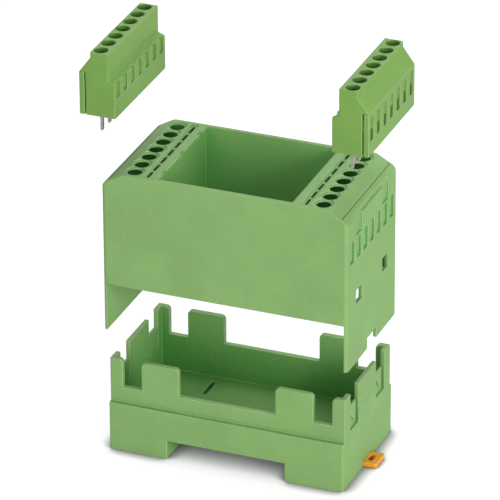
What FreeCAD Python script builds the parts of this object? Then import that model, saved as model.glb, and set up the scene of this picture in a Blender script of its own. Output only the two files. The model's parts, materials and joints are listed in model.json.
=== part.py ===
import FreeCAD, Part
import math
import os
from FreeCAD import Vector

# A rail-mounted electronics enclosure, shown taken apart: base tray with its rail foot and sliding
# foot latch, tall cover lifted clear above it, and two rows of screw terminals lifted clear of the
# cover. X runs across the rail, Y along it, Z up. The origin is the centre of the rail seat.
# Every piece is modelled where it sits when closed, and then lifted by the display offsets.

# Terminal rows
pole_pitch = 5.08
pole_count = 7

# Outside of the closed enclosure
cover_length = 72.0
cover_width = 38.4
cover_wall_height = 34.3
cover_raise = 37.0

# Rail seat, for a 35 mm top-hat rail with lips 1 mm thick
rail_width = 35.0
rail_lip = 1.0
rail_play = 0.3
rail_slot_depth = 5.7
rail_grip = 1.2
rail_grip_play = 0.1
rail_hook_height = 1.9
rail_hook_width = 16.0

# Base tray
floor_thickness = 2.7
band_height = 14.7
low_wall_height = 4.7
post_height = 13.3
end_panel_height = 14.1
base_side_wall = 1.5
base_end_wall = 1.3
base_edge_radius = 0.4
corner_post_width = 3.7
tab_start = 14.4
tab_width = 11.1
tab_radius = 1.2
end_panel_half = 6.9
end_panel_bevel = 0.8
end_panel_setback = 0.15
end_panel_setback_rise = 5.6
tongue_width = 5.6
tongue_slit = 0.5
tongue_height = 8.5
tongue_root = 1.6
tongue_setback = 0.75
hook_tip_inset = 0.05
hook_tip_width = 0.8
hook_catch_rise = 3.8
hook_lead = 4.6
floor_slot_x = -16.4
floor_slot_y = 9.3
floor_slot_width = 1.3
floor_slot_length = 7.6
core_cell = 6.0
core_rib = 1.1
core_roof = 1.6

# Foot latch
latch_width = 6.6
latch_tip_thickness = 1.3
latch_rail_width = 8.2
latch_rail_thickness = 1.2
latch_reach = 4.0
latch_travel = 3.0
latch_gap = 0.15
latch_slot_length = 1.6
latch_slot_width = 3.4
latch_slot_inset = 0.5
latch_foot_gap = 0.1
latch_nose_bevel = 0.9
latch_heel = 5.0

# Cover
skirt_wall = 1.0
skirt_gap = 0.1
skirt_drop = 14.2
side_wall = 1.3
side_gap = 0.15
end_wall = 1.6
deck_thickness = 0.8
partition_wall = 1.2
chamfer_run = 6.0
chamfer_drop = 3.4
shoulder_radius = 3.0
deck_edge_radius = 3.0
corner_radius = 1.2
rim_radius = 0.35
deck_inner_edge = 19.65
deck_overhang = 0.6
inner_ledge_gap = 0.3
screw_hole_x = 27.6
screw_hole_radius = 2.1
scallop_radius = 2.85
scallop_depth = 0.4
marker_strip_x = 23.1
marker_strip_width = 2.0
marker_strip_depth = 0.4
marker_slot_width = 0.9
marker_slot_length = 4.2
marker_slot_shift = -0.4
lid_notch_pitch = 13.0
lid_notch_width = 2.2
lid_notch_depth = 1.0
slope_line_run = 4.0
slope_line_width = 0.35
slope_line_depth = 0.3
slope_line_margin = 0.8
snap_window_width = 4.5
snap_window_height = 4.3
snap_window_drop = 0.1
latch_notch_gap = 0.35
latch_notch_height = 3.2
wire_window_width = 3.0
wire_window_height = 6.5
wire_window_depth = 0.9
wire_window_rise = 17.5
groove_depth = 0.7
groove_gap = 0.5
centre_panel_drop = 1.0

# Terminal blocks: u runs inward from the screw axis, v upward from the block's underside
block_height = 18.8
block_outer = 5.5
block_inner = 4.95
block_top_outer = 2.2
block_top_inner = 3.05
block_shoulder_drop = 1.6
block_front_height = 12.6
block_ledge_height = 10.2
block_ledge_slope = 0.7
block_front_thickness = 1.9
block_end_gap = 0.08
block_seat_gap = 0.2
left_block_lift = 36.6
right_block_lift = 37.7
left_block_outset = 9.4
right_block_outset = 8.2
seam_width = 0.45
seam_depth = 0.8
block_edge_radius = 0.3
clamp_room_width = 4.0
clamp_room_bottom = 1.2
clamp_room_top = 12.0
clamp_room_inner = 2.4
contact_room_top = 9.2
contact_room_inner = 3.4
screw_well_radius = 2.05
wire_hole_width = 2.4
wire_hole_bottom = 4.2
wire_hole_height = 3.0
entry_recess_height = 7.0
entry_recess_depth = 0.5
test_slot_width = 0.8
test_slot_height = 2.4
test_slot_rise = 6.7
test_recess_width = 2.4
test_recess_depth = 0.6
test_recess_height = 5.2

# Clamp screws, clamp cages and contacts
screw_head_radius = 1.8
screw_head_height = 1.6
screw_head_drop = 3.2
screw_shank_radius = 1.2
screw_slot_width = 0.6
screw_slot_depth = 0.8
screw_gap = 0.08
thread_sides = 10
round_sides = 20
head_seat_gap = 0.05
cage_wall = 0.6
cage_side_gap = 0.1
cage_length = 3.6
cage_bottom = 3.2
cage_opening = 4.1
cage_roof = 1.2
cage_travel = 2.4
contact_thickness = 0.8
contact_bar_width = 2.2
contact_bar_top = 7.85
contact_bar_reach = 1.7
contact_riser = 2.3
contact_foot_top = 2.6
contact_base_gap = 0.05
pin_width = 0.8
pin_drop = 5.1
pin_point = 0.4
cut_over = 1.0

# Levels of the closed enclosure
seat_z = 0.0
foot_z = seat_z - rail_slot_depth
floor_z = seat_z + floor_thickness
ledge_z = foot_z + band_height
low_wall_z = ledge_z + low_wall_height
post_z = ledge_z + post_height
end_panel_z = ledge_z + end_panel_height
tongue_z = ledge_z + tongue_height
tongue_root_z = ledge_z + tongue_root
hook_catch_z = ledge_z + hook_catch_rise
cover_top_z = ledge_z + cover_wall_height
skirt_z = ledge_z - skirt_drop
deck_under_z = cover_top_z - deck_thickness
inner_step_z = end_panel_z + inner_ledge_gap
block_seat_z = post_z + block_seat_gap
wire_window_z = ledge_z + wire_window_rise

# Half sizes
cover_half_x = cover_length / 2
cover_half_y = cover_width / 2
skirt_inner_x = cover_half_x - skirt_wall
base_half_x = skirt_inner_x - skirt_gap
tray_half_y = cover_half_y - side_wall - side_gap
slot_half_x = rail_width / 2 + rail_play / 2
tongue_start = end_panel_half + tongue_slit
tongue_end = tongue_start + tongue_width
tongue_centre = (tongue_start + tongue_end) / 2
chamber_half_y = cover_half_y - side_wall
block_half_y = pole_count * pole_pitch / 2 - block_end_gap
partition_x = deck_inner_edge + deck_overhang
pole_places = [(i - (pole_count - 1) / 2) * pole_pitch for i in range(pole_count)]
# Corner radius of a faceted bore whose flats clear the shank all round
thread_bore_radius = (screw_shank_radius + screw_gap) / math.cos(math.pi / thread_sides)


def box(x_range, y_range, z_range):
    low = Vector(min(x_range), min(y_range), min(z_range))
    high = Vector(max(x_range), max(y_range), max(z_range))
    size = high - low
    return Part.makeBox(size.x, size.y, size.z, low)


def prism_along_y(outline, y_range):
    """Close an outline of (x, z) points and push it along Y."""
    points = [Vector(x, min(y_range), z) for x, z in outline]
    face = Part.Face(Part.makePolygon(points + points[:1]))
    return face.extrude(Vector(0, max(y_range) - min(y_range), 0))


def prism_along_x(outline, x_range):
    """Close an outline of (y, z) points and push it along X."""
    points = [Vector(min(x_range), y, z) for y, z in outline]
    face = Part.Face(Part.makePolygon(points + points[:1]))
    return face.extrude(Vector(max(x_range) - min(x_range), 0, 0))


def post(x, y, z_range, radius, sides):
    """Upright regular prism that stands in for a small round, with its corners on the radius."""
    corners = []
    for step in range(sides + 1):
        angle = 2 * math.pi * step / sides
        corners.append(Vector(x + radius * math.cos(angle), y + radius * math.sin(angle), min(z_range)))
    return Part.Face(Part.makePolygon(corners)).extrude(Vector(0, 0, max(z_range) - min(z_range)))


def round_edges(shape, radius, chosen):
    edges = [edge for edge in shape.Edges if chosen(edge)]
    return shape.makeFillet(radius, edges)


def runs_along(edge, axis):
    ends = [vertex.Point for vertex in edge.Vertexes]
    if len(ends) != 2:
        return False
    step = ends[1] - ends[0]
    across = step - axis * step.dot(axis)
    return across.Length < 1e-6


def mid(edge):
    return edge.BoundBox.Center


def mirror_x(shape):
    return shape.mirror(Vector(0, 0, 0), Vector(1, 0, 0))


def base_tray_body():
    """Band with its side ledges, and the inset walls above it."""
    band = box((-base_half_x, base_half_x), (-cover_half_y, cover_half_y), (foot_z, ledge_z))
    band = round_edges(band, base_edge_radius, lambda e: runs_along(e, Vector(0, 0, 1)))
    walls = box((-base_half_x, base_half_x), (-tray_half_y, tray_half_y), (ledge_z - cut_over, end_panel_z))
    hollow = box(
        (-base_half_x + base_end_wall, base_half_x - base_end_wall),
        (-tray_half_y + base_side_wall, tray_half_y - base_side_wall),
        (floor_z, end_panel_z + cut_over),
    )
    return band.fuse(walls).removeSplitter().cut(hollow)


def side_wall_gaps():
    """What is cut from both long walls to leave corner posts and tabs with rounded shoulders."""
    post_inner = base_half_x - corner_post_width
    y_range = (-cover_half_y, cover_half_y)
    high = end_panel_z + cut_over
    cuts = [box((-tab_start, tab_start), y_range, (low_wall_z, high))]
    for side in (-1, 1):
        tab = (side * tab_start, side * (tab_start + tab_width))
        cuts.append(box((tab[1], side * post_inner), y_range, (low_wall_z, high)))
        cuts.append(shoulders(tab, y_range))
        cuts.append(shoulders((side * post_inner, side * base_half_x), y_range, outer=side))
    return cuts


def shoulders(x_range, y_range, outer=0):
    """The stock over a tab or corner post, with the tab's rounded top taken out of it."""
    low, high = min(x_range), max(x_range)
    stock = box((low, high), y_range, (post_z - tab_radius, end_panel_z + cut_over))
    stay_low = low - (2 * tab_radius if outer < 0 else 0)
    stay_high = high + (2 * tab_radius if outer > 0 else 0)
    stay = box((stay_low, stay_high), y_range, (low_wall_z, post_z))
    stay = round_edges(
        stay, tab_radius, lambda e: runs_along(e, Vector(0, 1, 0)) and mid(e).z > post_z - tab_radius
    )
    return stock.cut(stay)


def end_wall_cuts():
    """Slits each side of the snap tongues, and the space over tongues and posts."""
    cuts = []
    inner_x = base_half_x - base_end_wall - cut_over
    outer_x = base_half_x + cut_over
    high = end_panel_z + cut_over
    for end in (-1, 1):
        x_range = (end * inner_x, end * outer_x)
        for side in (-1, 1):
            first = (side * end_panel_half, side * tongue_start)
            second = (side * tongue_end, side * (tongue_end + tongue_slit))
            over_tongue = (side * end_panel_half, side * (tongue_end + tongue_slit))
            over_post = (side * tongue_end, side * cover_half_y)
            cuts.append(box(x_range, first, (tongue_root_z, high)))
            cuts.append(box(x_range, second, (tongue_root_z, high)))
            cuts.append(box(x_range, over_tongue, (tongue_z, high)))
            cuts.append(box(x_range, over_post, (post_z, high)))
            face_x = (end * (base_half_x - tongue_setback), end * outer_x)
            cuts.append(box(face_x, (side * tongue_start, side * tongue_end), (tongue_root_z, high)))
            bevel = [
                (side * end_panel_half, end_panel_z + cut_over),
                (side * end_panel_half, end_panel_z - end_panel_bevel),
                (side * (end_panel_half - end_panel_bevel), end_panel_z),
                (side * (end_panel_half - end_panel_bevel), end_panel_z + cut_over),
            ]
            cuts.append(prism_along_x(bevel, x_range))
        panel_x = (end * (base_half_x - end_panel_setback), end * outer_x)
        panel_low = ledge_z + end_panel_setback_rise
        cuts.append(box(panel_x, (-end_panel_half, end_panel_half), (panel_low, high)))
    return cuts


def snap_hooks():
    """Wedges on the tongues: flat catch below, long lead-in slope above that widens upward."""
    hooks = []
    root_x = base_half_x - tongue_setback - base_end_wall / 4
    face_x = base_half_x - tongue_setback
    tip_x = base_half_x - hook_tip_inset
    lead_z = hook_catch_z + hook_lead
    for end in (-1, 1):
        wedge_outline = [
            (end * root_x, hook_catch_z),
            (end * tip_x, hook_catch_z),
            (end * face_x, lead_z),
            (end * root_x, lead_z),
        ]
        for side in (-1, 1):
            centre = side * tongue_centre
            wedge = prism_along_y(wedge_outline, (side * tongue_start, side * tongue_end))
            front_outline = [
                (centre - hook_tip_width / 2, hook_catch_z),
                (centre + hook_tip_width / 2, hook_catch_z),
                (centre + tongue_width / 2, lead_z),
                (centre - tongue_width / 2, lead_z),
            ]
            hooks.append(wedge.common(prism_along_x(front_outline, (end * root_x, end * tip_x))))
    return hooks


def latch_channel():
    """T-shaped way for the foot latch through the right foot, open below."""
    inner_x = slot_half_x - cut_over
    outer_x = base_half_x + cut_over
    neck_top = foot_z + latch_foot_gap + latch_tip_thickness
    neck_half = latch_width / 2 + latch_gap
    rail_half = latch_rail_width / 2 + latch_gap
    rail_top = neck_top + latch_rail_thickness + 2 * latch_gap
    heel_x = slot_half_x + latch_heel + latch_travel + latch_gap
    neck = box((inner_x, outer_x), (-neck_half, neck_half), (foot_z - cut_over, neck_top + latch_gap))
    wide = box((inner_x, heel_x + latch_heel), (-rail_half, rail_half), (neck_top, rail_top))
    nose = box((inner_x, heel_x), (-neck_half, neck_half), (neck_top, seat_z - rail_lip))
    return neck.fuse(wide).fuse(nose)


def core_cells():
    """Cored cells under both feet, with ribs between them."""
    cells = []
    z_range = (foot_z - cut_over, floor_z - core_roof)
    step = core_cell + core_rib
    first_x = base_half_x - base_end_wall - core_cell / 2
    for end in (-1, 1):
        for column in range(2):
            x = end * (first_x - column * step)
            for side in (-1, 1):
                for row in range(2):
                    y = side * (cover_half_y - base_side_wall - core_cell / 2 - row * step)
                    if abs(y) - core_cell / 2 < latch_rail_width / 2 + core_rib / 2:
                        continue
                    cells.append(core_box(x, y, z_range))
    return cells


def core_box(x, y, z_range):
    half = core_cell / 2
    return box((x - half, x + half), (y - half, y + half), z_range)


def make_base_housing():
    body = base_tray_body()
    cuts = side_wall_gaps() + end_wall_cuts() + core_cells() + [latch_channel()]
    cuts.append(box((-slot_half_x, slot_half_x), (-cover_half_y, cover_half_y), (foot_z - cut_over, seat_z)))
    cuts.append(
        box(
            (floor_slot_x - floor_slot_width / 2, floor_slot_x + floor_slot_width / 2),
            (floor_slot_y - floor_slot_length / 2, floor_slot_y + floor_slot_length / 2),
            (seat_z - cut_over, floor_z + cut_over),
        )
    )
    body = body.cut(Part.makeCompound(cuts))
    body = body.fuse(snap_hooks() + [rail_hook()])
    return body.removeSplitter()


def rail_hook():
    """Fixed hook that grips the rail's other lip, with a sloped underside."""
    top = seat_z - rail_lip - rail_grip_play
    outline = [
        (-slot_half_x - rail_grip, top),
        (-slot_half_x + rail_grip, top),
        (-slot_half_x + rail_grip, top - rail_hook_height / 2),
        (-slot_half_x, top - rail_hook_height),
        (-slot_half_x - rail_grip, top - rail_hook_height),
    ]
    return prism_along_y(outline, (-rail_hook_width / 2, rail_hook_width / 2))


def make_foot_latch():
    """Sliding latch: pull tab with a slot for a blade, T-shaped runner and a nose under the rail."""
    bottom = foot_z + latch_foot_gap
    neck_top = bottom + latch_tip_thickness
    rail_top = neck_top + latch_rail_thickness
    nose_x = slot_half_x - rail_grip
    heel_x = slot_half_x + latch_heel
    tip_x = base_half_x + latch_reach
    half = latch_width / 2
    plate = box((nose_x, tip_x), (-half, half), (bottom, neck_top))
    corners = lambda e: runs_along(e, Vector(0, 0, 1)) and mid(e).x > base_half_x
    plate = round_edges(plate, latch_tip_thickness / 2, corners)
    runner_gap = latch_gap
    runner = box(
        (slot_half_x + runner_gap, heel_x + latch_heel),
        (-latch_rail_width / 2, latch_rail_width / 2),
        (neck_top + runner_gap, rail_top + runner_gap),
    )
    web = box((slot_half_x + runner_gap, heel_x + latch_heel), (-half, half), (bottom, rail_top))
    grip_top = seat_z - rail_lip - rail_grip_play
    nose_outline = [
        (nose_x, grip_top),
        (heel_x, grip_top),
        (heel_x, bottom),
        (nose_x + latch_nose_bevel, bottom),
        (nose_x, bottom + latch_tip_thickness),
    ]
    nose = prism_along_y(nose_outline, (-half, half))
    body = plate.cut(box((nose_x - cut_over, heel_x), (-half, half), (bottom, neck_top)))
    body = body.fuse([runner, web, nose]).removeSplitter()
    slot_x = base_half_x + latch_slot_inset
    slot = box(
        (slot_x, slot_x + latch_slot_length),
        (-latch_slot_width / 2, latch_slot_width / 2),
        (bottom - cut_over, neck_top + cut_over),
    )
    return body.cut(slot)


def cover_shell():
    """Outer form of the cover: sloped shoulders, side walls down to the ledge, end skirts lower."""
    outline = [
        (-cover_half_x, skirt_z),
        (-cover_half_x, cover_top_z - chamfer_drop),
        (-cover_half_x + chamfer_run, cover_top_z),
        (cover_half_x - chamfer_run, cover_top_z),
        (cover_half_x, cover_top_z - chamfer_drop),
        (cover_half_x, skirt_z),
        (skirt_inner_x, skirt_z),
        (skirt_inner_x, ledge_z),
        (-skirt_inner_x, ledge_z),
        (-skirt_inner_x, skirt_z),
    ]
    shell = prism_along_y(outline, (-cover_half_y, cover_half_y))
    shoulder_z = cover_top_z - chamfer_drop
    is_shoulder = lambda e: runs_along(e, Vector(0, 1, 0)) and abs(mid(e).z - shoulder_z) < 1e-6
    is_deck_edge = lambda e: runs_along(e, Vector(0, 1, 0)) and abs(mid(e).z - cover_top_z) < 1e-6
    shell = round_edges(shell, shoulder_radius, is_shoulder)
    shell = round_edges(shell, deck_edge_radius, is_deck_edge)
    is_rim = lambda e: abs(abs(mid(e).y) - cover_half_y) < 1e-6 and mid(e).z > cover_top_z - rim_radius
    shell = round_edges(shell, rim_radius, is_rim)
    low = skirt_z - cut_over
    high = cover_top_z + cut_over
    plan = box((-cover_half_x, cover_half_x), (-cover_half_y, cover_half_y), (low, high))
    plan = round_edges(plan, corner_radius, lambda e: runs_along(e, Vector(0, 0, 1)))
    return shell.common(plan)


def cover_hollows():
    """Room for the base's walls, a chamber for each terminal block, and the open middle."""
    inner_y = cover_half_y - side_wall
    low = skirt_z - cut_over
    hollows = [
        box((-skirt_inner_x, skirt_inner_x), (-inner_y, inner_y), (ledge_z - cut_over, inner_step_z)),
        box((-deck_inner_edge, deck_inner_edge), (-inner_y, inner_y), (low, cover_top_z + cut_over)),
        box((-partition_x, partition_x), (-inner_y, inner_y), (low, deck_under_z)),
    ]
    chamber_inner = partition_x + partition_wall
    chamber_outer = cover_half_x - end_wall
    slope = chamfer_drop / chamfer_run
    shoulder = cover_half_x - chamfer_run - deck_thickness * slope / 2
    for side in (-1, 1):
        outline = [
            (side * chamber_inner, ledge_z - cut_over),
            (side * chamber_inner, deck_under_z),
            (side * shoulder, deck_under_z),
            (side * chamber_outer, deck_under_z - (chamber_outer - shoulder) * slope),
            (side * chamber_outer, ledge_z - cut_over),
        ]
        hollows.append(prism_along_y(outline, (-chamber_half_y, chamber_half_y)))
    return hollows


def deck_cuts():
    """Screwdriver holes in scalloped recesses, marker strip with slots, and lid notches."""
    cuts = []
    through = (deck_under_z - cut_over, cover_top_z + cut_over)
    strip_half = marker_strip_width / 2
    reach = cover_half_y - side_wall
    for side in (-1, 1):
        strip_x = side * marker_strip_x
        strip_z = (cover_top_z - marker_strip_depth, cover_top_z + cut_over)
        cuts.append(box((strip_x - strip_half, strip_x + strip_half), (-reach, reach), strip_z))
        for y in pole_places:
            hole_x = side * screw_hole_x
            scallop_z = (cover_top_z - scallop_depth, cover_top_z + cut_over)
            cuts.append(post(hole_x, y, through, screw_hole_radius, round_sides))
            cuts.append(post(hole_x, y, scallop_z, scallop_radius, round_sides))
            slot_y = y + marker_slot_shift
            cuts.append(
                box(
                    (strip_x - marker_slot_width / 2, strip_x + marker_slot_width / 2),
                    (slot_y - marker_slot_length / 2, slot_y + marker_slot_length / 2),
                    through,
                )
            )
    for place in (-1, 0, 1):
        y = place * lid_notch_pitch
        cuts.append(
            box(
                (-deck_inner_edge - lid_notch_depth, -deck_inner_edge + cut_over),
                (y - lid_notch_width / 2, y + lid_notch_width / 2),
                through,
            )
        )
    return cuts


def slope_lines():
    """Fine line along each sloped shoulder."""
    lines = []
    line_x = cover_half_x - chamfer_run + slope_line_run
    line_z = cover_top_z - chamfer_drop * slope_line_run / chamfer_run
    reach = cover_half_y - slope_line_margin
    for side in (-1, 1):
        x_range = (side * (line_x - slope_line_width / 2), side * (line_x + slope_line_width / 2))
        lines.append(box(x_range, (-reach, reach), (line_z - slope_line_depth, cover_top_z)))
    return lines


def end_face_cuts():
    """Snap windows, wire windows, upper grooves and the notch over the latch."""
    cuts = []
    window_half = snap_window_width / 2
    window_z = hook_catch_z - snap_window_drop
    groove_z = wire_window_z + wire_window_height + groove_gap
    panel_z = cover_top_z - chamfer_drop - centre_panel_drop
    for end in (-1, 1):
        outer_x = end * (cover_half_x + cut_over)
        through = (end * (cover_half_x - end_wall - cut_over), outer_x)
        pocket = (end * (cover_half_x - wire_window_depth), outer_x)
        groove = (end * (cover_half_x - groove_depth), outer_x)
        for side in (-1, 1):
            centre = side * tongue_centre
            y_range = (centre - window_half, centre + window_half)
            cuts.append(box(through, y_range, (window_z, window_z + snap_window_height)))
            cuts.append(box(groove, y_range, (groove_z, cover_top_z + cut_over)))
        between = (-tongue_centre, tongue_centre)
        cuts.append(box(groove, between, (panel_z, cover_top_z + cut_over)))
        for y in pole_places:
            y_range = (y - wire_window_width / 2, y + wire_window_width / 2)
            cuts.append(box(pocket, y_range, (wire_window_z, wire_window_z + wire_window_height)))
    notch_half = latch_width / 2 + latch_notch_gap
    notch_x = (skirt_inner_x - cut_over, cover_half_x + cut_over)
    cuts.append(box(notch_x, (-notch_half, notch_half), (skirt_z - cut_over, skirt_z + latch_notch_height)))
    return cuts


def make_upper_housing():
    cuts = cover_hollows() + deck_cuts() + slope_lines() + end_face_cuts()
    return cover_shell().cut(Part.makeCompound(cuts)).removeSplitter()


def block_outline():
    """Section of a terminal block in (u, v), u from the outer face to the inner face."""
    front = -block_outer + block_front_thickness
    return [
        (front, 0),
        (block_inner, 0),
        (block_inner, block_ledge_height),
        (block_top_inner, block_ledge_height + block_ledge_slope),
        (block_top_inner, block_height),
        (-block_top_outer, block_height),
        (-block_top_outer, block_height - block_shoulder_drop),
        (-block_outer, block_front_height),
        (front, block_front_height),
    ]


def block_place(u, v):
    """Closed place of a block point on the right-hand side, as (x, z)."""
    return screw_hole_x - u, block_seat_z + v


def block_box(u_range, y_range, v_range):
    x_low, z_low = block_place(u_range[0], v_range[0])
    x_high, z_high = block_place(u_range[1], v_range[1])
    return box((x_low, x_high), y_range, (z_low, z_high))


def block_prism(outline, y_range):
    return prism_along_y([block_place(u, v) for u, v in outline], y_range)


def across_pole(y, width):
    return (y - width / 2, y + width / 2)


def block_post(y, v_range, radius, sides):
    z_low = block_seat_z + v_range[0]
    z_high = block_seat_z + v_range[1]
    return post(screw_hole_x, y, (z_low, z_high), radius, sides)


def make_block_housing():
    """Main moulding: screw wells, clamp rooms open to the front, and test slots at the ledge."""
    body = block_prism(block_outline(), (-block_half_y, block_half_y))
    ends = lambda e: abs(abs(mid(e).y) - block_half_y) < 1e-6 and mid(e).z > block_seat_z + block_ledge_height
    body = round_edges(body, block_edge_radius, ends)
    front = -block_outer + block_front_thickness
    head_floor = block_height - screw_head_drop - screw_head_height - head_seat_gap
    cuts = []
    for y in pole_places:
        room = across_pole(y, clamp_room_width)
        test = across_pole(y, test_slot_width)
        recess = across_pole(y, test_recess_width)
        bore = (clamp_room_top - cut_over, head_floor)
        cuts.append(block_post(y, (head_floor, block_height + cut_over), screw_well_radius, round_sides))
        cuts.append(block_post(y, bore, thread_bore_radius, thread_sides))
        rest_top = contact_foot_top - contact_thickness - contact_base_gap
        cuts.append(block_box((front - cut_over, clamp_room_inner), room, (rest_top, clamp_room_top)))
        cuts.append(block_box((front, contact_room_inner), room, (rest_top, contact_room_top)))
        cuts.append(block_box((contact_room_inner, block_inner), test, slot_span(test_slot_rise, test_slot_height)))
        recess_u = (block_inner - test_recess_depth, block_inner + cut_over)
        recess_low = block_ledge_height + block_ledge_slope - test_recess_height
        cuts.append(block_box(recess_u, recess, (recess_low, block_ledge_height + block_ledge_slope)))
        pin_half = pin_width / 2 + screw_gap
        cuts.append(block_box((-pin_half, pin_half), across_pole(y, 2 * pin_half), (-cut_over, rest_top)))
    return body.cut(Part.makeCompound(cuts))


def slot_span(start, height):
    return (start, start + height)


def make_block_front():
    """Front strip that closes the clamp rooms, with a wire entry for each pole."""
    front = -block_outer + block_front_thickness
    strip = block_box((-block_outer, front), (-block_half_y, block_half_y), (0, block_front_height))
    is_foot = lambda e: runs_along(e, Vector(0, 1, 0)) and mid(e).z < block_seat_z + block_edge_radius
    strip = round_edges(strip, block_edge_radius, is_foot)
    cuts = []
    for side in (-1, 1):
        y_range = (side * (block_half_y - seam_depth), side * (block_half_y + cut_over))
        cuts.append(block_box((front - seam_width, front + cut_over), y_range, (-cut_over, block_height)))
    for y in pole_places:
        width = across_pole(y, wire_hole_width)
        cuts.append(block_box((-block_outer - cut_over, front + cut_over), width, wire_hole_span()))
        recess = (-block_outer - cut_over, -block_outer + entry_recess_depth)
        cuts.append(block_box(recess, width, slot_span(wire_hole_bottom, entry_recess_height)))
    return strip.cut(Part.makeCompound(cuts))


def wire_hole_span():
    return slot_span(wire_hole_bottom, wire_hole_height)


def make_contact(y):
    """Bent contact strip: bar inside the cage, riser behind it, foot below it and the solder pin."""
    bar_low = contact_bar_top - contact_thickness
    foot_low = contact_foot_top - contact_thickness
    outline = [
        (-contact_bar_reach, bar_low),
        (-contact_bar_reach, contact_bar_top),
        (contact_riser + contact_thickness, contact_bar_top),
        (contact_riser + contact_thickness, foot_low),
        (-pin_width / 2, foot_low),
        (-pin_width / 2, contact_foot_top),
        (contact_riser, contact_foot_top),
        (contact_riser, bar_low),
    ]
    strip = block_prism(outline, across_pole(y, contact_bar_width))
    pin_outline = [
        (-pin_width / 2, foot_low),
        (pin_width / 2, foot_low),
        (pin_width / 2, -pin_drop + pin_point),
        (pin_width / 4, -pin_drop),
        (-pin_width / 4, -pin_drop),
        (-pin_width / 2, -pin_drop + pin_point),
    ]
    pin = block_prism(pin_outline, across_pole(y, pin_width))
    return strip.fuse(pin).removeSplitter()


def make_clamp_screw(y):
    """Slotted screw that stands on the contact bar and is held down by its head."""
    head_top = block_height - screw_head_drop
    shank_foot = contact_bar_top + contact_base_gap
    head = block_post(y, (head_top - screw_head_height, head_top), screw_head_radius, round_sides)
    shank = block_post(y, (shank_foot, head_top), screw_shank_radius, thread_sides)
    slot_u = (-screw_head_radius - cut_over, screw_head_radius + cut_over)
    slot = block_box(slot_u, across_pole(y, screw_slot_width), (head_top - screw_slot_depth, head_top + cut_over))
    return head.fuse(shank).removeSplitter().cut(slot)


def make_clamp_cage(y):
    """Open cage that rises round the contact bar as its screw is turned."""
    width = clamp_room_width - 2 * cage_side_gap
    height = cage_wall + cage_opening + cage_roof
    u_range = (-cage_length / 2, cage_length / 2)
    inner_u = (-cage_length / 2 - cut_over, cage_length / 2 + cut_over)
    body = block_box(u_range, across_pole(y, width), slot_span(cage_bottom, height))
    opening = slot_span(cage_bottom + cage_wall, cage_opening)
    body = body.cut(block_box(inner_u, across_pole(y, width - 2 * cage_wall), opening))
    thread = slot_span(cage_bottom + cage_wall + cage_opening - cut_over, cage_roof + 2 * cut_over)
    return body.cut(block_post(y, thread, thread_bore_radius, thread_sides))


def display_cover(shape):
    return shape.translated(Vector(0, 0, cover_raise))


def display_block(shape, side):
    """Lift a right-hand block piece to its place in the display, mirrored for the left-hand row."""
    if side == "right":
        return shape.translated(Vector(right_block_outset, 0, cover_raise + right_block_lift))
    return mirror_x(shape.translated(Vector(left_block_outset, 0, cover_raise + left_block_lift)))


def make_nodes():
    nodes = {
        "base_housing": make_base_housing(),
        "foot_latch": make_foot_latch(),
        "upper_housing": display_cover(make_upper_housing()),
    }
    housing = make_block_housing()
    front = make_block_front()
    contacts = Part.makeCompound([make_contact(y) for y in pole_places])
    screws = [make_clamp_screw(y) for y in pole_places]
    cages = [make_clamp_cage(y) for y in pole_places]
    for side in ("left", "right"):
        nodes[side + "_block_housing"] = display_block(housing, side)
        nodes[side + "_block_front"] = display_block(front, side)
        nodes[side + "_contacts"] = display_block(contacts, side)
        for number, (screw, cage) in enumerate(zip(screws, cages), start=1):
            nodes[f"{side}_clamp_screw_{number}"] = display_block(screw, side)
            nodes[f"{side}_clamp_cage_{number}"] = display_block(cage, side)
    return nodes


def main():
    os.makedirs("parts", exist_ok=True)
    for name, shape in make_nodes().items():
        shape.exportStep(os.path.join("parts", name + ".step"))
        print(name, "solids", len(shape.Solids), "valid", shape.isValid(), "mm3", round(shape.Volume, 2))


main()
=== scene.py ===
import bpy
import json
import math
from mathutils import Matrix, Vector


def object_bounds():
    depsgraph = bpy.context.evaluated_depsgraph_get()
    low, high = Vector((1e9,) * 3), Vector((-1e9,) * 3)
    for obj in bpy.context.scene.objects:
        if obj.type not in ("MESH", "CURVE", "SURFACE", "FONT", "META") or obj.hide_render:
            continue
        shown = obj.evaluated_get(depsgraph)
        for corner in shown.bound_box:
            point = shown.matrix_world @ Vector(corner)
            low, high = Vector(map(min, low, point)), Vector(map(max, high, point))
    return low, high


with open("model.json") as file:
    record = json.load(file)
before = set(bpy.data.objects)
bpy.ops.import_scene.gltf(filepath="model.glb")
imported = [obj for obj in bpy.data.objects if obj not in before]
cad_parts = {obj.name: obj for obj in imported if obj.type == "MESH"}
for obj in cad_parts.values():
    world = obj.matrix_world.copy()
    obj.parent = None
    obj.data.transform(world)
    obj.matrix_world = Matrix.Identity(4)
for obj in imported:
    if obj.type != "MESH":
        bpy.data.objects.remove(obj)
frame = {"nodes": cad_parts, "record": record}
cad_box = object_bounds()

MM = 0.001

# Camera, matched to the photograph by the rows of screwdriver holes and the corners of the cover and base
CAMERA_AZIMUTH = math.radians(21.81)
CAMERA_ELEVATION = math.radians(26.92)
CAMERA_ROLL = math.radians(-0.3)
CAMERA_DISTANCE = 1.4
CAMERA_TARGET = Vector((0.03 * MM, 0, 53.85 * MM))
LENS_MM = 365.4
SENSOR_MM = 36.0
CLIP_START = 0.1
CLIP_END = 20.0

# Plain light: the world and the lamps together light a surface at about its own colour
WORLD_LEVEL = 0.22
SEEN_WORLD_LEVEL = 1.0
LAMP_DISTANCE = 1.5

# Name, azimuth and elevation in degrees, side of the square and level of each lamp
LAMPS = (
    ("key", 60, 15, 0.8, 0.80),
    ("top", 200, 75, 0.9, 0.30),
    ("front", -5, 10, 1.0, 0.33),
    ("back", 195, 35, 1.0, 0.22),
)

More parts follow.
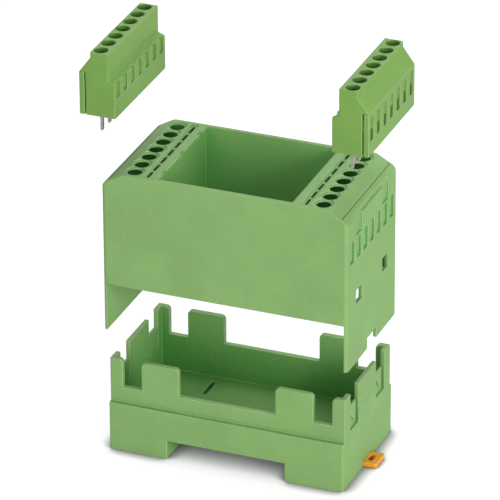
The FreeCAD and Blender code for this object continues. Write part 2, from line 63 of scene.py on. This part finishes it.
# The floor as light meets it, and as the camera and reflections see it: lit a little, and white by itself
FLOOR_SIZE = 6.0
FLOOR_GREY = 0.6
SEEN_FLOOR_GREY = 0.32
SEEN_FLOOR_WHITE = 0.83

# Shadow on the seen floor: a wide soft one, and a dark one close under the feet
FLOOR_SAMPLES = 16
SHADOW_REACH = 30 * MM
SHADOW_CLOSED = 0.05
SHADOW_OPEN = 0.65
SHADOW_POWER = 0.75
CONTACT_REACH = 5.5 * MM
CONTACT_CLOSED = 0.5
CONTACT_OPEN = 0.9

# Colours of the mouldings: flat faces, painted shade in hollows, and pale specks and painted highlights on
# edges
GREEN = (0.225, 0.412, 0.128)
GREEN_PAINTED_SHADE = (0.085, 0.31, 0.056)
COVER_GREEN_PAINTED_SHADE = (0.12, 0.415, 0.088)
# The pale colours serve for random pale specks and for painted highlights along edges
GREEN_SPECK_AND_HIGHLIGHT = (0.55, 0.74, 0.42)
BLOCK_GREEN = (0.17, 0.34, 0.062)
BLOCK_GREEN_PAINTED_SHADE = (0.08, 0.25, 0.03)
BLOCK_GREEN_SPECK_AND_HIGHLIGHT = (0.45, 0.66, 0.26)
ORANGE = (0.98, 0.37, 0.013)
ORANGE_PAINTED_SHADE = (0.85, 0.29, 0.008)
ORANGE_SPECK_AND_HIGHLIGHT = (0.95, 0.60, 0.16)

# Metals: their colours, and the roughness of each piece with the stretch of the lines drawn along it
TIN = (0.36, 0.36, 0.34)
ZINC = (0.50, 0.51, 0.52)
PIN_ROUGHNESS = 0.30
SCREW_ROUGHNESS = 0.34
CAGE_ROUGHNESS = 0.38
PIN_LINES = (1.0, 1.0, 0.12)
SCREW_LINES = (1.0, 1.0, 0.5)
CAGE_LINES = (0.15, 1.0, 1.0)

# Surface of each kind of moulding; the reach is how far a hollow's walls may lie from a point that they
# darken with painted shade
HOUSING_SURFACE = {
    "light": GREEN_SPECK_AND_HIGHLIGHT,
    "painted_shade_reach": 45 * MM,
    "roughness": 0.65,
    "grain_height": 0.014 * MM,
    "ior": 1.5,
}
BLOCK_SURFACE = {
    "light": BLOCK_GREEN_SPECK_AND_HIGHLIGHT,
    "painted_shade_reach": 4.5 * MM,
    "roughness": 0.5,
    "grain_height": 0.008 * MM,
    "ior": 1.42,
}
LATCH_SURFACE = {
    "light": ORANGE_SPECK_AND_HIGHLIGHT,
    "painted_shade_reach": 2 * MM,
    "roughness": 0.4,
    "grain_height": 0.006 * MM,
    "ior": 1.45,
}

# Nearly all values of a noise lie between these two
NOISE_LOW = 0.35
NOISE_HIGH = 0.65

# Edges: samples of the rounded normal, and how far it agrees with the flat one on an edge and on a face
EDGE_SAMPLES = 6
EDGE_AGREES = 0.75
FACE_AGREES = 0.99

# Moulded plastic: cell sizes of its noises, and what each does
CLOUD_SIZE = 14 * MM
CLOUD_DARK = 0.93
CLOUD_PALE = 1.05
CLOUD_SMOOTHER = 0.04
CLOUD_ROUGHER = 0.05
SPECK_SIZE = 0.5 * MM
SPECK_FROM = 0.5
SPECK_TO = 0.75
SPECK_SHARE = 0.08
GRAIN_SIZE = 0.16 * MM
GRAIN_STRENGTH = 0.5
# Painted highlight along edges: a paler colour laid on the rounded edges, stronger in patches
EDGE_HIGHLIGHT_PATCH_SIZE = 3 * MM
EDGE_HIGHLIGHT_LEAST = 0.6
EDGE_HIGHLIGHT_SHARE = 0.95
PLASTIC_EDGE = 0.45 * MM

# Openness up to which moulded plastic has its full painted-shade colour, and from which it has its flat one
PAINTED_SHADE_SAMPLES = 8
PAINTED_SHADE_CLOSED = 0.25
PAINTED_SHADE_OPEN = 0.8

# Plated metal: drawn lines, patches and painted highlights on edges
LINE_SIZE = 0.12 * MM
LINE_DEPTH = 0.01 * MM
LINE_STRENGTH = 0.35
LINE_SMOOTHER = 0.08
LINE_ROUGHER = 0.1
PATCH_SIZE = 1.6 * MM
PATCH_DULL = 0.72
EDGE_HIGHLIGHT_GAIN = 1.25
METAL_HIGHLIGHT_SHARE = 0.7
METAL_EDGE = 0.1 * MM


def scaled(colour, factor):
    return tuple(value * factor for value in colour)


class Nodes:
    """A small helper round one node tree."""

    def __init__(self, tree):
        self.tree = tree
        tree.nodes.clear()

    def add(self, kind, **settings):
        node = self.tree.nodes.new(kind)
        for key, value in settings.items():
            setattr(node, key, value)
        return node

    def link(self, source, target):
        self.tree.links.new(source, target)

    def noise(self, coordinates, size, detail=2.0, roughness=0.5):
        """Noise whose cells are about size metres across."""
        texture = self.add("ShaderNodeTexNoise")
        texture.inputs["Scale"].default_value = 1.0 / size
        texture.inputs["Detail"].default_value = detail
        texture.inputs["Roughness"].default_value = roughness
        self.link(coordinates, texture.inputs["Vector"])
        return texture.outputs["Fac"]

    def spread(self, value, low, high, from_low=NOISE_LOW, from_high=NOISE_HIGH):
        """Stretch a value so that it runs from low to high, and hold it between them."""
        ranged = self.add("ShaderNodeMapRange")
        ranged.inputs["From Min"].default_value = from_low
        ranged.inputs["From Max"].default_value = from_high
        ranged.inputs["To Min"].default_value = low
        ranged.inputs["To Max"].default_value = high
        self.link(value, ranged.inputs["Value"])
        return ranged.outputs["Result"]

    def mix(self, share, first, second):
        """Mix two colours, each a tuple or a socket, with share of the second."""
        mixer = self.add("ShaderNodeMix", data_type="RGBA")
        self.link(share, mixer.inputs["Factor"])
        for socket, colour in ((mixer.inputs["A"], first), (mixer.inputs["B"], second)):
            if isinstance(colour, tuple):
                socket.default_value = (*colour, 1.0)
            else:
                self.link(colour, socket)
        return mixer.outputs["Result"]

    def math(self, operation, first, second):
        """Work out one sum, each side a number or a socket."""
        node = self.add("ShaderNodeMath", operation=operation)
        for socket, value in zip(node.inputs, (first, second)):
            if isinstance(value, (int, float)):
                socket.default_value = value
            else:
                self.link(value, socket)
        return node.outputs["Value"]

    def openness(self, reach, samples, own_mesh_only=False):
        """How open a point is: 1 in the open, and less where more lies round it within reach."""
        occlusion = self.add("ShaderNodeAmbientOcclusion", samples=samples, only_local=own_mesh_only)
        occlusion.inputs["Distance"].default_value = reach
        return occlusion.outputs["AO"]

    def rounded_edges(self, radius):
        """The normal as if edges were rounded, and how much a point lies on an edge, from 0 to 1."""
        bevel = self.add("ShaderNodeBevel", samples=EDGE_SAMPLES)
        bevel.inputs["Radius"].default_value = radius
        geometry = self.add("ShaderNodeNewGeometry")
        agreement = self.add("ShaderNodeVectorMath", operation="DOT_PRODUCT")
        self.link(bevel.outputs["Normal"], agreement.inputs[0])
        self.link(geometry.outputs["Normal"], agreement.inputs[1])
        edge = self.spread(agreement.outputs["Value"], 1.0, 0.0, EDGE_AGREES, FACE_AGREES)
        return bevel.outputs["Normal"], edge

    def bump(self, height, normal, strength, depth):
        """The normal with a fine relief of that depth on it."""
        bump = self.add("ShaderNodeBump")
        bump.inputs["Strength"].default_value = strength
        bump.inputs["Distance"].default_value = depth
        self.link(height, bump.inputs["Height"])
        self.link(normal, bump.inputs["Normal"])
        return bump.outputs["Normal"]

    def diffuse(self, grey):
        shader = self.add("ShaderNodeBsdfDiffuse")
        shader.inputs["Color"].default_value = (grey, grey, grey, 1.0)
        return shader.outputs["BSDF"]

    def background(self, strength):
        shader = self.add("ShaderNodeBackground")
        shader.inputs["Color"].default_value = (1.0, 1.0, 1.0, 1.0)
        shader.inputs["Strength"].default_value = strength
        return shader.outputs["Background"]

    def where_seen(self, unseen, seen):
        """One shader for camera, glossy and transmission rays, and another for the rays that carry light."""
        rays = self.add("ShaderNodeLightPath")
        looks = self.math("MAXIMUM", rays.outputs["Is Camera Ray"], rays.outputs["Is Glossy Ray"])
        looks = self.math("MAXIMUM", looks, rays.outputs["Is Transmission Ray"])
        choose = self.add("ShaderNodeMixShader")
        self.link(looks, choose.inputs["Fac"])
        self.link(unseen, choose.inputs[1])
        self.link(seen, choose.inputs[2])
        return choose.outputs["Shader"]

    def finish(self, shader, output="ShaderNodeOutputMaterial"):
        self.link(shader, self.add(output).inputs["Surface"])


def new_material(name):
    material = bpy.data.materials.new(name)
    material.use_nodes = True
    return material, Nodes(material.node_tree)


def moulded_plastic(name, colour, painted_shade, light, painted_shade_reach, roughness, grain_height, ior):
    """Moulded plastic: faint cloudy colour, painted shade in hollows, fine spark-eroded grain, painted
    highlights on edges.
    """
    material, nodes = new_material(name)
    place = nodes.add("ShaderNodeTexCoord").outputs["Object"]
    cloud = nodes.noise(place, CLOUD_SIZE, detail=3.0)
    speck = nodes.noise(place, SPECK_SIZE, detail=1.0)
    grain = nodes.noise(place, GRAIN_SIZE, detail=2.0, roughness=0.6)
    highlight_patches = nodes.noise(place, EDGE_HIGHLIGHT_PATCH_SIZE)
    rounded_normal, edge = nodes.rounded_edges(PLASTIC_EDGE)
    openness = nodes.openness(painted_shade_reach, PAINTED_SHADE_SAMPLES, own_mesh_only=True)

    body = nodes.mix(nodes.spread(cloud, 0.0, 1.0), scaled(colour, CLOUD_DARK), scaled(colour, CLOUD_PALE))
    # Painted shade: a darker colour where the part's own walls lie close round a point
    body = nodes.mix(nodes.spread(openness, 0.0, 1.0, PAINTED_SHADE_CLOSED, PAINTED_SHADE_OPEN), painted_shade, body)
    body = nodes.mix(nodes.spread(speck, 0.0, SPECK_SHARE, SPECK_FROM, SPECK_TO), body, light)
    # Painted highlight: the pale colour laid along edges, stronger in patches
    edge_highlight = nodes.math("MULTIPLY", edge, nodes.spread(highlight_patches, EDGE_HIGHLIGHT_LEAST, 1.0))
    body = nodes.mix(nodes.math("MULTIPLY", edge_highlight, EDGE_HIGHLIGHT_SHARE), body, light)

    shader = nodes.add("ShaderNodeBsdfPrincipled")
    shader.inputs["IOR"].default_value = ior
    nodes.link(body, shader.inputs["Base Color"])
    cloudy_roughness = nodes.spread(cloud, roughness - CLOUD_SMOOTHER, roughness + CLOUD_ROUGHER)
    nodes.link(cloudy_roughness, shader.inputs["Roughness"])
    nodes.link(nodes.bump(grain, rounded_normal, GRAIN_STRENGTH, grain_height), shader.inputs["Normal"])
    nodes.finish(shader.outputs["BSDF"])
    return material


def plated_metal(name, colour, roughness, stretch):
    """Plated metal: lines drawn along one axis, duller patches and painted highlights on edges."""
    material, nodes = new_material(name)
    place = nodes.add("ShaderNodeTexCoord").outputs["Object"]
    mapping = nodes.add("ShaderNodeMapping")
    mapping.inputs["Scale"].default_value = stretch
    nodes.link(place, mapping.inputs["Vector"])
    lines = nodes.noise(mapping.outputs["Vector"], LINE_SIZE, detail=2.0)
    patches = nodes.noise(place, PATCH_SIZE, detail=2.0)
    rounded_normal, edge = nodes.rounded_edges(METAL_EDGE)

    body = nodes.mix(nodes.spread(patches, 0.0, 1.0), scaled(colour, PATCH_DULL), colour)
    # Painted highlight: a brighter colour laid along edges
    body = nodes.mix(nodes.math("MULTIPLY", edge, METAL_HIGHLIGHT_SHARE), body, scaled(colour, EDGE_HIGHLIGHT_GAIN))

    shader = nodes.add("ShaderNodeBsdfPrincipled")
    shader.inputs["Metallic"].default_value = 1.0
    nodes.link(body, shader.inputs["Base Color"])
    lined_roughness = nodes.spread(lines, roughness - LINE_SMOOTHER, roughness + LINE_ROUGHER)
    nodes.link(lined_roughness, shader.inputs["Roughness"])
    nodes.link(nodes.bump(lines, rounded_normal, LINE_STRENGTH, LINE_DEPTH), shader.inputs["Normal"])
    nodes.finish(shader.outputs["BSDF"])
    return material


def dress_nodes():
    """Give every node of the frame its finished material."""
    finishes = {
        "green_base": moulded_plastic("green_base_finish", GREEN, GREEN_PAINTED_SHADE, **HOUSING_SURFACE),
        "green_cover": moulded_plastic("green_cover_finish", GREEN, COVER_GREEN_PAINTED_SHADE, **HOUSING_SURFACE),
        "green_block": moulded_plastic("green_block_finish", BLOCK_GREEN, BLOCK_GREEN_PAINTED_SHADE, **BLOCK_SURFACE),
        "orange_latch": moulded_plastic("orange_latch_finish", ORANGE, ORANGE_PAINTED_SHADE, **LATCH_SURFACE),
        "tinned_contact": plated_metal("tinned_contact_finish", TIN, PIN_ROUGHNESS, PIN_LINES),
        "plated_screw": plated_metal("plated_screw_finish", ZINC, SCREW_ROUGHNESS, SCREW_LINES),
        "plated_cage": plated_metal("plated_cage_finish", ZINC, CAGE_ROUGHNESS, CAGE_LINES),
    }
    for part in frame["record"]["subparts"]:
        node = frame["nodes"][part["node"]]
        for slot in node.material_slots:
            slot.material = finishes[part["material_slot"]]


def make_floor():
    """Pale floor that keeps the object's shadow and otherwise meets the white background."""
    half = FLOOR_SIZE / 2
    level = cad_box[0].z
    mesh = bpy.data.meshes.new("floor")
    corners = [(-half, -half, level), (half, -half, level), (half, half, level), (-half, half, level)]
    mesh.from_pydata(corners, [], [(0, 1, 2, 3)])
    floor = bpy.data.objects.new("floor", mesh)
    bpy.context.scene.collection.objects.link(floor)

    material, nodes = new_material("floor_finish")
    around = nodes.openness(SHADOW_REACH, FLOOR_SAMPLES)
    close = nodes.openness(CONTACT_REACH, FLOOR_SAMPLES)
    shadow = nodes.math("POWER", nodes.spread(around, 0.0, 1.0, SHADOW_CLOSED, SHADOW_OPEN), SHADOW_POWER)
    contact = nodes.spread(close, 0.0, SEEN_FLOOR_WHITE, CONTACT_CLOSED, CONTACT_OPEN)
    own_white = nodes.add("ShaderNodeEmission")
    nodes.link(nodes.math("MULTIPLY", shadow, contact), own_white.inputs["Strength"])
    seen = nodes.add("ShaderNodeAddShader")
    nodes.link(nodes.diffuse(SEEN_FLOOR_GREY), seen.inputs[0])
    nodes.link(own_white.outputs["Emission"], seen.inputs[1])
    nodes.finish(nodes.where_seen(nodes.diffuse(FLOOR_GREY), seen.outputs["Shader"]))
    mesh.materials.append(material)


def make_world():
    """White background for camera and reflections, and a plain even level for lighting."""
    world = bpy.data.worlds.new("studio")
    world.use_nodes = True
    bpy.context.scene.world = world
    nodes = Nodes(world.node_tree)
    surface = nodes.where_seen(nodes.background(WORLD_LEVEL), nodes.background(SEEN_WORLD_LEVEL))
    nodes.finish(surface, "ShaderNodeOutputWorld")


def direction(azimuth, elevation):
    """Unit vector from the object towards a viewer or lamp at that azimuth and elevation."""
    flat = math.cos(elevation)
    return Vector((math.sin(azimuth) * flat, -math.cos(azimuth) * flat, math.sin(elevation)))


def add_lamp(name, azimuth, elevation, size, level):
    """Square soft lamp that adds level times a surface's colour where the surface faces it."""
    lamp = bpy.data.lights.new(name, "AREA")
    lamp.size = size
    lamp.energy = level * math.pi * math.pi * LAMP_DISTANCE * LAMP_DISTANCE
    away = direction(math.radians(azimuth), math.radians(elevation))
    carrier = bpy.data.objects.new(name, lamp)
    bpy.context.scene.collection.objects.link(carrier)
    carrier.location = CAMERA_TARGET + away * LAMP_DISTANCE
    carrier.rotation_mode = "QUATERNION"
    carrier.rotation_quaternion = away.to_track_quat("Z", "Y")


def make_camera():
    """Camera that looks at the target from the photograph's side, turned a little about its own axis."""
    data = bpy.data.cameras.new("camera")
    data.lens = LENS_MM
    data.sensor_width = SENSOR_MM
    data.clip_start = CLIP_START
    data.clip_end = CLIP_END
    camera = bpy.data.objects.new("camera", data)
    bpy.context.scene.collection.objects.link(camera)
    back = direction(CAMERA_AZIMUTH, CAMERA_ELEVATION)
    right = Vector((math.cos(CAMERA_AZIMUTH), math.sin(CAMERA_AZIMUTH), 0.0))
    up = back.cross(right)
    turned_right = right * math.cos(CAMERA_ROLL) + up * math.sin(CAMERA_ROLL)
    turned_up = up * math.cos(CAMERA_ROLL) - right * math.sin(CAMERA_ROLL)
    turn = Matrix((turned_right, turned_up, back)).transposed().to_4x4()
    camera.matrix_world = Matrix.Translation(CAMERA_TARGET + back * CAMERA_DISTANCE) @ turn
    bpy.context.scene.camera = camera


bpy.context.scene.view_settings.view_transform = "Standard"
make_camera()
dress_nodes()
make_floor()
make_world()
for lamp in LAMPS:
    add_lamp(*lamp)
